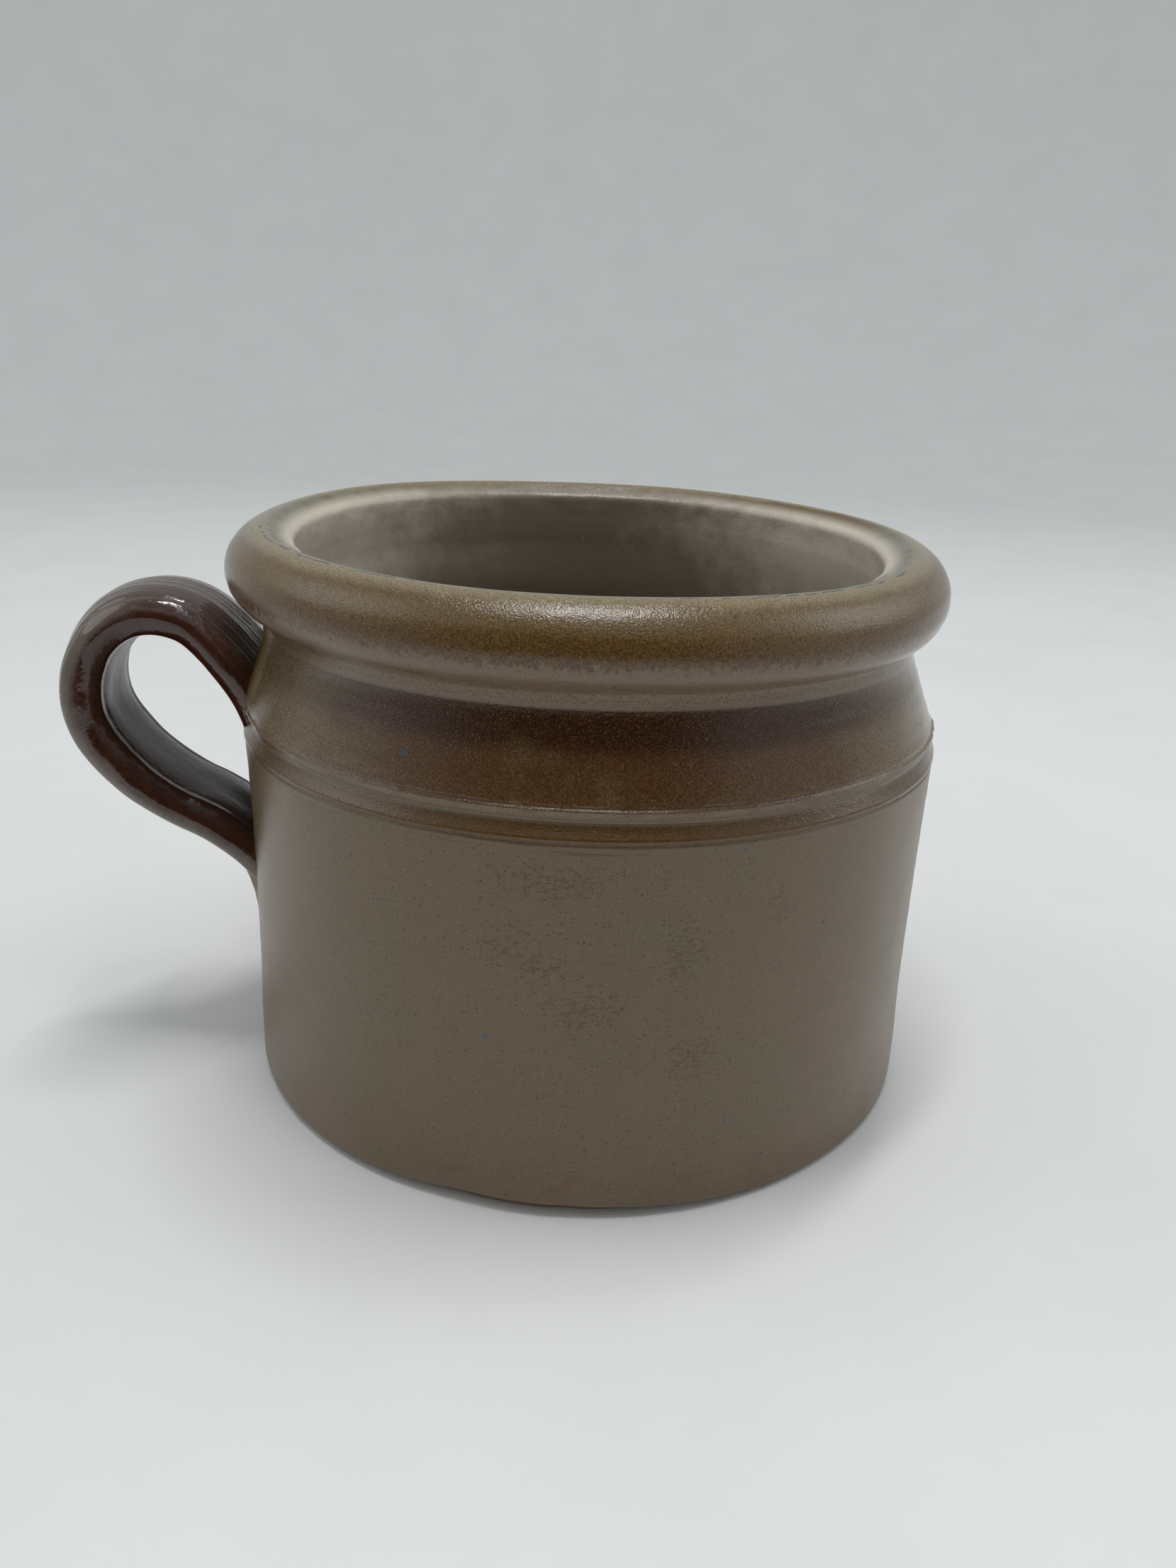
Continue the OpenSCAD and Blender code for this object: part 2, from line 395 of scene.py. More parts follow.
def strap_spine():
    """(distance along, r, z, heading in radians) at each ring of the strap."""
    r, z = STRAP_START
    a = math.radians(STRAP_RISE)
    out, run = [], 0.0
    for radius, turn in BENDS:
        way, turn = math.copysign(1, turn), math.radians(turn)
        hub = np.array([r, z]) + way * radius * np.array([math.sin(a), -math.cos(a)])
        n = max(2, int(abs(turn) * radius / STRAP_STEP))
        for k in range(n):
            t = a - turn * k / n
            p = hub - way * radius * np.array([math.sin(t), -math.cos(t)])
            out.append((run + abs(turn) * radius * k / n, p[0], p[1], t))
        run += abs(turn) * radius
        a -= turn
        r, z = hub - way * radius * np.array([math.sin(a), -math.cos(a)])
    out.append((run, r, z, a))
    return np.array(out)


STRAP_COLS = 208
# How flat the strap's two faces are and how round its two sides: 2 is an ellipse.
FACE_POWER, SIDE_POWER = 3.0, 1.9
# Thin ridges left between the potter's fingers along the outer face, as shares of the half width.
RIDGES = (-0.60, -0.34, -0.10, 0.22, 0.55)


def strap_section(q, u):
    """(across, out) of the strap's surface at angle q and share u of its length.

    out is positive on the outer face, which carries the ridges, and negative on the inner one."""
    flare = 1 + 0.30 * smooth(0.34, 0.06, u) + 0.10 * smooth(0.86, 1.0, u)
    w = STRAP_W / 2 * flare
    t = STRAP_T / 2 * (1.04 + 0.14 * smooth(0.22, 0.05, u) - 0.78 * smooth(0.93, 1.0, u))
    t = t * (0.55 + 0.45 * smooth(-0.01, 0.065, u))
    c, s = np.cos(q), np.sin(q)
    across = w * np.sign(c) * np.abs(c) ** (2 / FACE_POWER)
    out = t * np.sign(s) * np.abs(s) ** (2 / SIDE_POWER)
    v = across / w
    outer = smooth(0.15, 0.75, s)
    inner = smooth(-0.15, -0.75, s)
    drift = 0.035 * np.sin(8 * u + 1)
    ridges = sum(bump_at(v, at + drift, 0.050) for at in RIDGES)
    edge_bead = 0.26 * bump_at(v, -0.86, 0.14) - 0.16 * bump_at(v, -0.75, 0.07)
    out = out + outer * (0.20 * (1 - v * v) - 0.2 + 0.055 * ridges + edge_bead)
    beads = 1 + 0.16 * np.sin(90 * u + 3 * np.sin(31 * u)) * smooth(0.4, 0.55, u) * smooth(0.1, -0.3, v)
    out = out + inner * (0.42 * (1 - v * v) - 0.50 * beads * bump_at(np.abs(v), 0.82, 0.17))
    return across, out


def even_angles(n):
    """n values of q that put strap_section's points at even distances round the strap."""
    q = np.linspace(0, 2 * math.pi, 4001)
    a, b = strap_section(q, np.full_like(q, 0.5))
    d = np.r_[0, np.cumsum(np.hypot(np.diff(a), np.diff(b)))]
    return np.interp(np.linspace(0, d[-1], n, endpoint=False), d, q)


def make_handle():
    spine = strap_spine()
    rows = len(spine)
    share = spine[:, 0] / spine[-1, 0]
    q = even_angles(STRAP_COLS)
    u = np.repeat(share, STRAP_COLS)
    qq = np.tile(q, rows)
    across, out = strap_section(qq, u)
    run = np.repeat(spine[:, 0], STRAP_COLS)
    r = np.repeat(spine[:, 1], STRAP_COLS)
    z = np.repeat(spine[:, 2], STRAP_COLS)
    a = np.repeat(spine[:, 3], STRAP_COLS)
    flow = np.stack([across, out, run * 0.4], 1)
    out = out + 0.30 * noise(flow, 4.6, 11) + 0.06 * noise(flow, 1.9, 12)
    across = across * (1 + 0.035 * noise(flow * [0, 0, 1], 1.6, 13)) + 0.15 * noise(flow, 5, 14)
    y = across + 0.5 * np.sin(u * 5.2 + 0.3)
    wrap = y * y / (2 * WALL_R) * np.maximum(smooth(0.24, 0.06, u), smooth(0.84, 0.98, u))
    reach = r - out * np.sin(a) - wrap
    x = -np.maximum(reach, np.sqrt(np.maximum(STRAP_END_R ** 2 - y * y, 0)))
    verts = np.stack([x, y, z + out * np.cos(a)], 1)
    first = verts[:STRAP_COLS].mean(0)
    last = verts[-STRAP_COLS:].mean(0)
    verts = np.vstack([verts, [first, last]])
    faces = [tuple(reversed(f)) for f in grid_faces(rows, STRAP_COLS)]
    n0, n1 = rows * STRAP_COLS, rows * STRAP_COLS + 1
    for j in range(STRAP_COLS):
        k = (j + 1) % STRAP_COLS
        faces.append((n0, j, k))
        faces.append((n1, (rows - 1) * STRAP_COLS + k, (rows - 1) * STRAP_COLS + j))
    marks = {
        "along": np.r_[run, 0, spine[-1, 0]],
        "across": np.r_[across, 0, 0],
        "outer": np.r_[np.sin(qq), 0, 0],
    }
    return mesh_object("glazed_strap", verts, faces, marks)


# ---------------------------------------------------------------- luting clay


LUTING_POINTS = 120


def make_luting(name, z0, half_y, half_z, height_at):
    """A skin of clay on the wall, whose height off the wall is height_at(s, z, p) in mm.

    s is the distance round the wall from the handle's plane, and p the points on the wall. Where
    that height is negative the skin dips into the wall, so that its edge is feathered."""
    cols = rows = LUTING_POINTS
    s = np.linspace(-half_y, half_y, cols)
    z = np.linspace(z0 - half_z, z0 + half_z, rows)
    ss, zz = np.tile(s, rows), np.repeat(z, cols)
    phi = HANDLE_SIDE + ss / WALL_R
    base = body_point(phi, zz)
    soft = np.mean([outer_radius(zz + d) for d in (-2, -1, 0, 1, 2)], axis=0) - outer_radius(zz)
    radial = np.stack([np.cos(phi), np.sin(phi), np.zeros_like(phi)], 1)
    h = height_at(ss, zz, base)
    edge = np.minimum(half_y - np.abs(ss), half_z - np.abs(zz - z0))
    h = h + soft * smooth(0, 0.6, h) - 1.2 * smooth(1.5, 0, edge)
    front = base + radial * h[:, None]
    back = base - radial * 2.4
    n = rows * cols
    faces = grid_faces(rows, cols, wrap=False)
    faces += [tuple(n + i for i in reversed(f)) for f in grid_faces(rows, cols, wrap=False)]
    ring = list(range(cols)) + [i * cols + cols - 1 for i in range(1, rows)]
    ring += [(rows - 1) * cols + j for j in range(cols - 2, -1, -1)]
    ring += [i * cols for i in range(rows - 2, 0, -1)]
    for i, j in zip(ring, ring[1:] + ring[:1]):
        faces.append((j, i, n + i, n + j))
    marks = {"level": np.r_[zz, zz], "thick": np.r_[h, h * 0], "flash_and_dark_reflection": np.zeros(2 * n)}
    return mesh_object(name, np.vstack([front, back]), faces, marks)


def lower_root_height():
    """The height where the lower half of the strap's centre line meets the wall."""
    spine = strap_spine()
    lower_half = spine[len(spine) // 2:]
    return lower_half[np.argmin(np.abs(lower_half[:, 1] - WALL_R)), 2]


LOW_ROOT_Z = lower_root_height()


def rounded_box(s, z, half_s, half_z, corner):
    """The distance to a rounded rectangle about the origin, negative inside it."""
    dx = np.abs(s) - half_s + corner
    dz = np.abs(z) - half_z + corner
    return np.hypot(np.maximum(dx, 0), np.maximum(dz, 0)) + np.minimum(np.maximum(dx, dz), 0) - corner


def upper_height(s, z, p):
    """The upper smear: a ridge hugging the root, thumbed down to the shoulder's lower edge."""
    gap = rounded_box(s, z - (EDGE_Z + 4.6), STRAP_W / 2 + 2.0, 10.2, 5)
    wave = 0.4 * noise(p, 6, 21)
    ridge = 1.30 * smooth(4.0, -0.8, gap + wave) * smooth(EDGE_Z - 3, EDGE_Z + 5, z)
    smear = 0.30 * smooth(7.0, 0.5, gap + 1.4 * noise(p, 5, 22)) * smooth(NECK_Z, EDGE_Z, z)
    return ridge + smear + 0.06 * noise(p, 2.2, 23) - 0.38


def lower_height(s, z, p):
    """The lower smear: a fillet under the tail of the strap, wiped downwards to nothing."""
    above = z - LOW_ROOT_Z
    fillet = 0.016 * np.clip(above + 14, 0, 12) ** 2 + 0.3
    fillet = fillet * smooth(11.2, 7.8, np.abs(s) + 0.7 * noise(p, 5, 31)) * smooth(4.5, 0.5, above)
    gap = rounded_box(s, above + 0.6, STRAP_W / 2 + 0.2, 6.6, 5)
    ridge = 0.45 * smooth(3.2, -0.8, gap + 0.6 * noise(p, 5, 32))
    return np.maximum(ridge, fillet) + 0.05 * noise(p, 2.0, 33) - 0.32


# ---------------------------------------------------------------- node graphs


class Graph:
    """A short way to write a material's nodes. Arguments may be numbers, colours or sockets."""

    def __init__(self, name):
        self.material = bpy.data.materials.new(name)
        self.material.use_nodes = True
        self.tree = self.material.node_tree
        self.shader = self.tree.nodes["Principled BSDF"]
        coords = self.tree.nodes.new("ShaderNodeTexCoord").outputs["Object"]
        self.mm = self.vector("SCALE", coords, scale=1 / MM)
        self.x, self.y, self.z = self.split(self.mm)

    def put(self, socket, value):
        """Links another socket to the socket, or sets it to a number or a colour."""
        if isinstance(value, bpy.types.NodeSocket):
            self.tree.links.new(value, socket)
        elif socket.type == "RGBA" and len(value) == 3:
            socket.default_value = (*value, 1)
        else:
            socket.default_value = value

    def node(self, kind, **settings):
        n = self.tree.nodes.new(kind)
        for key, value in settings.items():
            setattr(n, key, value)
        return n

    def maths(self, operation, *values):
        n = self.node("ShaderNodeMath", operation=operation)
        for socket, value in zip(n.inputs, values):
            self.put(socket, value)
        return n.outputs[0]

    def chain(self, operation, values):
        """The operation over two or more values, from the left."""
        total = values[0]
        for value in values[1:]:
            total = self.maths(operation, total, value)
        return total

    def add(self, *values):
        return self.chain("ADD", values)

    def mul(self, *values):
        return self.chain("MULTIPLY", values)

    def most(self, *values):
        return self.chain("MAXIMUM", values)

    def sub(self, a, b):
        return self.maths("SUBTRACT", a, b)

    def swing(self, value, size):
        """A value from 0 to 1 moved to swing about 0, over the given size."""
        return self.mul(self.sub(value, 0.5), size)

    def vector(self, operation, a, b=(0, 0, 0), scale=1.0):
        n = self.node("ShaderNodeVectorMath", operation=operation)
        self.put(n.inputs[0], a)
        if operation == "SCALE":
            self.put(n.inputs["Scale"], scale)
        else:
            self.put(n.inputs[1], b)
        return n.outputs["Value" if operation == "DISTANCE" else "Vector"]

    def split(self, v):
        n = self.node("ShaderNodeSeparateXYZ")
        self.put(n.inputs[0], v)
        return n.outputs

    def join(self, x, y, z):
        n = self.node("ShaderNodeCombineXYZ")
        for socket, value in zip(n.inputs, (x, y, z)):
            self.put(socket, value)
        return n.outputs[0]

    def attribute(self, name):
        return self.node("ShaderNodeAttribute", attribute_name=name).outputs["Fac"]

    def noise(self, size, detail=2.0, rough=0.5, at=None, stretch=None):
        """Noise from 0 to 1 whose lumps are about size mm across."""
        at = at or self.mm
        if stretch:
            at = self.vector("MULTIPLY", at, stretch)
        n = self.node("ShaderNodeTexNoise")
        self.put(n.inputs["Vector"], at)
        n.inputs["Scale"].default_value = 1 / size
        n.inputs["Detail"].default_value = detail
        n.inputs["Roughness"].default_value = rough
        return n.outputs["Fac"]

    def cells(self, size, at=None):
        """(distance to the nearest point in mm, that cell's random colour)."""
        n = self.node("ShaderNodeTexVoronoi")
        self.put(n.inputs["Vector"], at or self.mm)
        n.inputs["Scale"].default_value = 1 / size
        return self.mul(n.outputs["Distance"], size), n.outputs["Color"]

    def step(self, lo, hi, value):
        """0 at lo, 1 at hi, smooth between. lo may be above hi."""
        n = self.node("ShaderNodeMapRange", interpolation_type="SMOOTHSTEP")
        self.put(n.inputs["Value"], value)
        n.inputs["From Min"].default_value = min(lo, hi)
        n.inputs["From Max"].default_value = max(lo, hi)
        n.inputs["To Min"].default_value = 0.0 if lo < hi else 1.0
        n.inputs["To Max"].default_value = 1.0 if lo < hi else 0.0
        return n.outputs[0]

    def zone(self, value, rise, fall):
        """1 between two smooth edges. rise and fall are (where it is 0, where it is 1)."""
        return self.mul(self.step(*rise, value), self.step(*fall, value))

    def mix(self, share, a, b):
        """From colour a to colour b. The sockets are by number, because their names repeat."""
        n = self.node("ShaderNodeMix", data_type="RGBA")
        for index, value in ((0, share), (6, a), (7, b)):
            self.put(n.inputs[index], value)
        return n.outputs[2]

    def blend(self, share, a, b):
        """The same for plain numbers."""
        n = self.node("ShaderNodeMix", data_type="FLOAT")
        for index, value in ((0, share), (2, a), (3, b)):
            self.put(n.inputs[index], value)
        return n.outputs[0]

    def specks(self, size, radius, share):
        """1 inside round specks of that radius, in that share of cells of that size, in mm."""
        d, colour = self.cells(size)
        chosen = self.step(1 - share - 0.02, 1 - share + 0.02, self.split(colour)[0])
        return self.mul(self.step(radius, radius * 0.5, d), chosen)

    def finish(self, colour, rough, height, depth_mm):
        """Wires the three patterned inputs. depth_mm is how deep a height of 1 is."""
        self.put(self.shader.inputs["Base Color"], colour)
        self.put(self.shader.inputs["Roughness"], rough)
        n = self.node("ShaderNodeBump")
        n.inputs["Strength"].default_value = 1.0
        n.inputs["Distance"].default_value = depth_mm * MM
        self.put(n.inputs["Height"], height)
        self.put(self.shader.inputs["Normal"], n.outputs[0])
        return self.material


# Colours of the glazes, and of the painted shade and reflections on them, as linear light.
WALL_ROSE = (0.146, 0.090, 0.048)
WALL_OLIVE = (0.130, 0.092, 0.045)
SHOULDER_PALE = (0.185, 0.135, 0.080)
SHOULDER_DARK = (0.092, 0.044, 0.014)
# Painted shade under the neck ring, as a darker red-brown.
SHOULDER_RED_SHADE = (0.042, 0.013, 0.003)
SHOULDER_RUST = (0.088, 0.036, 0.013)
BAND_PALE = (0.122, 0.076, 0.038)
RIM_BROWN = (0.096, 0.047, 0.011)
RIM_OLIVE = (0.114, 0.067, 0.019)
RIM_TAN = (0.215, 0.166, 0.084)
RIM_DARK = (0.040, 0.018, 0.005)
LIP_CREAM = (0.165, 0.156, 0.105)
PIT_BROWN = (0.078, 0.036, 0.016)
IRON = (0.020, 0.012, 0.008)
GOLD_AND_GLINT = (0.210, 0.125, 0.040)
UNDERSIDE_FLOOR_REFLECTION = (0.165, 0.116, 0.074)
OCHRE = (0.130, 0.066, 0.015)
BLUE = (0.045, 0.075, 0.120)
CREAM = (0.570, 0.515, 0.425)
MAUVE = (0.205, 0.160, 0.112)
UMBER = (0.090, 0.052, 0.014)
CLAY = (0.230, 0.150, 0.095)
STRAP_DARK = (0.032, 0.010, 0.005)
STRAP_BROWN = (0.056, 0.016, 0.006)
STRAP_MAUVE_SHEEN = (0.090, 0.060, 0.050)
STRAP_GREY_FLOOR_SHEEN = (0.108, 0.082, 0.060)
STRAP_INNER = (0.062, 0.042, 0.036)

BODY_IOR, STRAP_IOR = 1.6, 1.62
BODY_RELIEF, STRAP_RELIEF, BOARD_RELIEF = 0.05, 0.08, 0.02


def downward(g, level, frayed):
    """1 on the faces that look down: under the roll, under the ring and under the shoulder. A paler
    colour is painted there as the floor's reflection.
    """
    torn = g.add(level, g.swing(frayed, 4.5))
    roll = g.mul(g.step(NECK_Z + 3.6, NECK_Z + 4.2, level), g.step(HEIGHT - 7.2, HEIGHT - 8.1, torn))
    ring = g.zone(level, (NECK_Z + 0.2, NECK_Z + 0.5), (NECK_Z + 1.7, NECK_Z + 1.3))
    chamfer = g.zone(level, (EDGE_Z - 2.1, EDGE_Z - 1.7), (EDGE_Z + 0.1, EDGE_Z - 0.3))
    return g.most(roll, ring, chamfer)


def shoulder_colour(g, level, mid, patch):
    """The shoulder's brown: darker at the front, partly the glaze's own colour and partly a painted dark
    reflection, and painted darker and redder towards the neck as shade under the ring.
    """
    flash_and_dark_reflection = g.mul(g.attribute("flash_and_dark_reflection"), g.step(0.30, 0.55, g.add(patch, 0.1)))
    streaks = g.step(0.5, 0.8, g.noise(1.5, 3, 0.6, stretch=(1, 1, 0.14)))
    colour = g.mix(g.most(flash_and_dark_reflection, g.mul(streaks, 0.35)), SHOULDER_PALE, SHOULDER_DARK)
    rust = g.mul(g.step(0.46, 0.66, g.noise(10, 3, 0.55)), g.attribute("flash_and_dark_reflection"))
    colour = g.mix(g.mul(rust, 0.8), colour, SHOULDER_RUST)
    # Painted shade: the top of the shoulder, under the neck ring, is painted darker and redder.
    shade_under_ring = g.step(NECK_Z - 5.5, NECK_Z - 2.5, g.add(level, g.mul(mid, 1.5)))
    return g.mix(g.mul(shade_under_ring, g.add(0.35, g.mul(flash_and_dark_reflection, 0.65))), colour, SHOULDER_RED_SHADE)


def rim_colour(g, colour, level, mid, grain, frayed):
    """The rim over the colour below it: brown, a singed edge, olive, and tan along the crest."""
    ragged = g.add(level, g.add(g.swing(grain, 2.0), g.swing(frayed, 4.0)))
    colour = g.mix(g.step(HEIGHT - 10.3, HEIGHT - 8.3, ragged), colour, RIM_BROWN)
    edge = g.zone(level, (HEIGHT - 8.9, HEIGHT - 8.1), (HEIGHT - 5.2, HEIGHT - 7.4))
    singed = g.mul(g.step(0.50, 0.62, g.noise(0.8, 2, 0.6)), edge)
    colour = g.mix(g.mul(singed, 0.75), colour, RIM_DARK)
    colour = g.mix(g.step(HEIGHT - 6.0, HEIGHT - 2.5, ragged), colour, RIM_OLIVE)
    crest = g.step(HEIGHT - 1.2, HEIGHT - 0.2, g.add(level, g.swing(mid, 1.2)))
    return g.mix(crest, colour, RIM_TAN)


def outside_colour(g, level, mid, patch, grain, frayed, down):
    """The outside from the foot to the rim's crest, before its specks."""
    colour = g.mix(g.step(0.38, 0.62, patch), WALL_ROSE, WALL_OLIVE)
    shoulder = g.zone(level, (EDGE_Z - 0.2, EDGE_Z + 0.2), (NECK_Z + 0.9, NECK_Z + 0.3))
    colour = g.mix(shoulder, colour, shoulder_colour(g, level, mid, patch))
    band = g.zone(level, (LINE_Z, LINE_Z + 0.5), (GROOVE_Z, GROOVE_Z - 0.5))
    # The band is browner at the front: partly the glaze's own colour, partly a painted dark reflection.
    colour = g.mix(band, colour, g.mix(g.attribute("flash_and_dark_reflection"), BAND_PALE, RIM_BROWN))
    colour = rim_colour(g, colour, level, mid, grain, frayed)
    # Yellow-brown specks on the shoulder: partly the glaze's own grain, partly painted glints, fewer on
    # the faces that look down.
    gold_and_glints = g.step(0.56, 0.70, g.noise(0.22, 1, 0.5, stretch=(1, 1, 1.2)))
    gold_and_glints = g.mul(gold_and_glints, g.step(LINE_Z, EDGE_Z, level))
    colour = g.mix(g.mul(gold_and_glints, g.sub(0.50, g.mul(down, 0.42))), colour, GOLD_AND_GLINT)
    # Painted reflection: the faces that look down take a paler grey-brown for the bright floor reflected
    # in them.
    colour = g.mix(g.mul(down, 0.8), colour, UNDERSIDE_FLOOR_REFLECTION)
    drawn = g.step(0.60, 0.68, g.noise(0.42, 2, 0.6, stretch=(0.035, 0.035, 1)))
    ruled = g.zone(level, (LINE_Z - 2.6, LINE_Z - 1.0), (LINE_Z + 0.1, LINE_Z - 0.3))
    neck_lines = g.zone(level, (NECK_Z + 1.8, NECK_Z + 2.4), (HEIGHT - 9, HEIGHT - 10.5))
    drawn = g.mul(g.mul(drawn, g.most(ruled, neck_lines)), g.mul(g.attribute("flash_and_dark_reflection"), 0.6))
    colour = g.mix(drawn, colour, PIT_BROWN)
    spread = g.blend(g.step(LINE_Z, EDGE_Z, level), 0.30, 0.75)
    spread = g.mul(spread, g.sub(1.0, g.mul(down, 0.6)))
    shade = g.add(1.0, g.swing(g.step(0.32, 0.68, grain), spread))
    return g.vector("SCALE", colour, scale=shade)


def inside_colour(g, level, mid):
    """Cream glaze over mauve, with painted light and shade: paler at the left and right and towards the
    mouth, darker at the front and back, and browner towards the floor, partly the glaze's own colour and
    partly painted shade.
    """
    cloud = g.add(g.mul(g.noise(11, 3, 0.5), 0.6), g.mul(g.noise(3.2, 3, 0.6), 0.4))
    veil = g.add(g.mul(g.attribute("cream"), 0.50), g.mul(cloud, 0.55))
    high = g.add(veil, g.mul(g.step(64, 84, level), 0.24))
    colour = g.mix(g.step(0.50, 0.98, high), MAUVE, CREAM)
    # Browner and darker towards the floor: partly the glaze's own colour, partly painted shade, more so
    # at the front and back.
    deep = g.step(82, 54, g.add(level, g.mul(cloud, 16)))
    return g.mix(g.mul(deep, g.sub(1.0, g.mul(g.attribute("cream"), 0.5))), colour, UMBER)


def lip_cracks(g, mid):
    """A broken dark line along the crest, where the outer glaze ends and the paler inner one begins."""
    line = g.add(RIM_R - 5.6, g.swing(mid, 1.6))
    off = g.maths("ABSOLUTE", g.sub(g.attribute("radius"), line))
    dash = g.step(0.45, 0.51, g.noise(2.2, 1, 0.5))
    near_top = g.step(HEIGHT - 3, HEIGHT - 1.5, g.attribute("level"))
    return g.mul(g.mul(g.step(0.26, 0.12, off), dash), g.mul(g.attribute("crack"), near_top))


def pits(g, neck, level, patch):
    """Where the glaze is ticked and scraped: on the wall, and less on the neck."""
    scuff = g.attribute("scuff")
    tick, shade = g.cells(0.60, at=g.vector("MULTIPLY", g.mm, (0.75, 0.75, 1.5)))
    crowd = g.add(g.mul(scuff, 0.30), g.swing(patch, 0.7))
    tick = g.mul(g.step(0.19, 0.07, tick), g.step(0.78, 0.86, g.add(g.split(shade)[0], crowd)))
    scrape = g.noise(1.1, 4, 0.7, stretch=(1, 1, 2.0))
    scrape = g.step(0.53, 0.60, g.add(scrape, g.mul(g.sub(scuff, 1.0), 0.12)))
    scrape = g.mul(scrape, g.step(0.05, 0.4, scuff))
    place = g.sub(g.most(g.step(EDGE_Z, LINE_Z - 0.5, level), neck), g.mul(neck, 0.6))
    return g.mul(g.most(tick, g.mul(scrape, 0.6)), place)


def with_blue_specks(g, colour, grain):
    """The colour with the few blue specks on the wall."""
    for angle, height, size in BLUE_SPECKS:
        place = body_point(np.array([math.radians(angle)]), np.array([float(height)]))[0]
        near = g.add(g.vector("DISTANCE", g.mm, tuple(place)), g.swing(grain, 0.6))
        colour = g.mix(g.mul(g.step(size, size * 0.6, near), 0.8), colour, BLUE)
    return colour


def with_lip(g, colour, level, mid):
    """The colour with the lip's cream slope, which is browned in clouds and at its far right."""
    far_side = g.mul(g.step(5, 38, g.x), g.step(-12, 20, g.y))
    browned = g.most(far_side, g.mul(g.step(0.46, 0.64, g.noise(3.5, 3, 0.6)), 0.6))
    wander = g.add(g.swing(mid, 1.6), g.mul(g.step(5, 40, g.y), 1.5))
    slope = g.step(RIM_R - 5.4, RIM_R - 6.4, g.add(g.attribute("radius"), wander))
    lip = g.mul(g.step(HEIGHT - 3, HEIGHT - 0.2, level), slope)
    return g.mix(lip, colour, g.mix(browned, LIP_CREAM, RIM_OLIVE))


def body_glaze(name, on_luting=False):
    """The salt glaze of the body, or of the luting clay, which is olive where it is thick."""
    g = Graph(name)
    level = g.attribute("level")
    grain = g.noise(0.27, 2, 0.6)
    frayed = g.noise(0.9, 3, 0.65, stretch=(1, 1, 0.7))
    mid = g.noise(7, 3, 0.6)
    patch = g.add(g.mul(g.noise(26, 3, 0.55), 0.6), g.mul(mid, 0.4))
    down = downward(g, level, frayed)
    colour = outside_colour(g, level, mid, patch, grain, frayed, down)
    if on_luting:
        colour = g.mix(g.step(0.3, 1.0, g.attribute("thick")), colour, RIM_OLIVE)
    neck = g.zone(level, (NECK_Z + 0.5, NECK_Z + 1), (HEIGHT - 8, HEIGHT - 10))
    pit = pits(g, neck, level, patch)
    colour = g.mix(g.mul(pit, 0.9), colour, PIT_BROWN)
    small, large = g.specks(1.4, 0.20, 0.24), g.specks(6.0, 0.42, 0.30)
    colour = g.mix(g.most(g.mul(small, 0.75), g.mul(large, 0.85)), colour, IRON)
    stain = g.step(0.46, 0.60, g.noise(2.6, 3, 0.6, stretch=(1, 1, 0.8)))
    colour = g.mix(g.mul(g.mul(g.attribute("stain"), stain), 0.75), colour, OCHRE)
    if not on_luting:
        colour = with_blue_specks(g, colour, grain)
        colour = with_lip(g, colour, level, mid)
        colour = g.mix(g.attribute("inner"), colour, inside_colour(g, level, mid))
        colour = g.mix(g.mul(lip_cracks(g, mid), 0.95), colour, IRON)
        colour = g.mix(g.attribute("under"), colour, g.mix(mid, CLAY, OCHRE))
    upper = g.step(LINE_Z - 0.1, LINE_Z + 0.7, level)
    gloss = g.blend(g.attribute("inner"), g.blend(upper, 0.26, 0.05), 0.24)
    gloss = g.blend(g.attribute("under"), gloss, 0.75)
    rough = g.add(g.mul(mid, g.blend(upper, 0.10, 0.05)), gloss)
    coarse = g.blend(g.step(HEIGHT - 8, HEIGHT - 4, level), 1.15, 1.55)
    peel = g.add(grain, g.mul(g.noise(1.2, 2, 0.5), 0.7))
    peel = g.mul(peel, g.blend(upper, 0.45, coarse))
    below = g.zone(level, (LINE_Z - 3, LINE_Z - 0.8), (LINE_Z + 0.2, LINE_Z - 0.2))
    turned_lines = g.blend(neck, g.blend(below, 0.15, 1.3), 0.7)
    turned_lines = g.mul(g.sub(1.0, g.attribute("inner")), turned_lines)
    wheel = g.mul(g.noise(0.5, 2, 0.6, stretch=(0.05, 0.05, 1)), turned_lines)
    height = g.add(g.sub(peel, g.mul(pit, 0.9)), g.mul(mid, 0.8), wheel)
    g.shader.inputs["IOR"].default_value = BODY_IOR
    return g.finish(colour, rough, height, BODY_RELIEF)


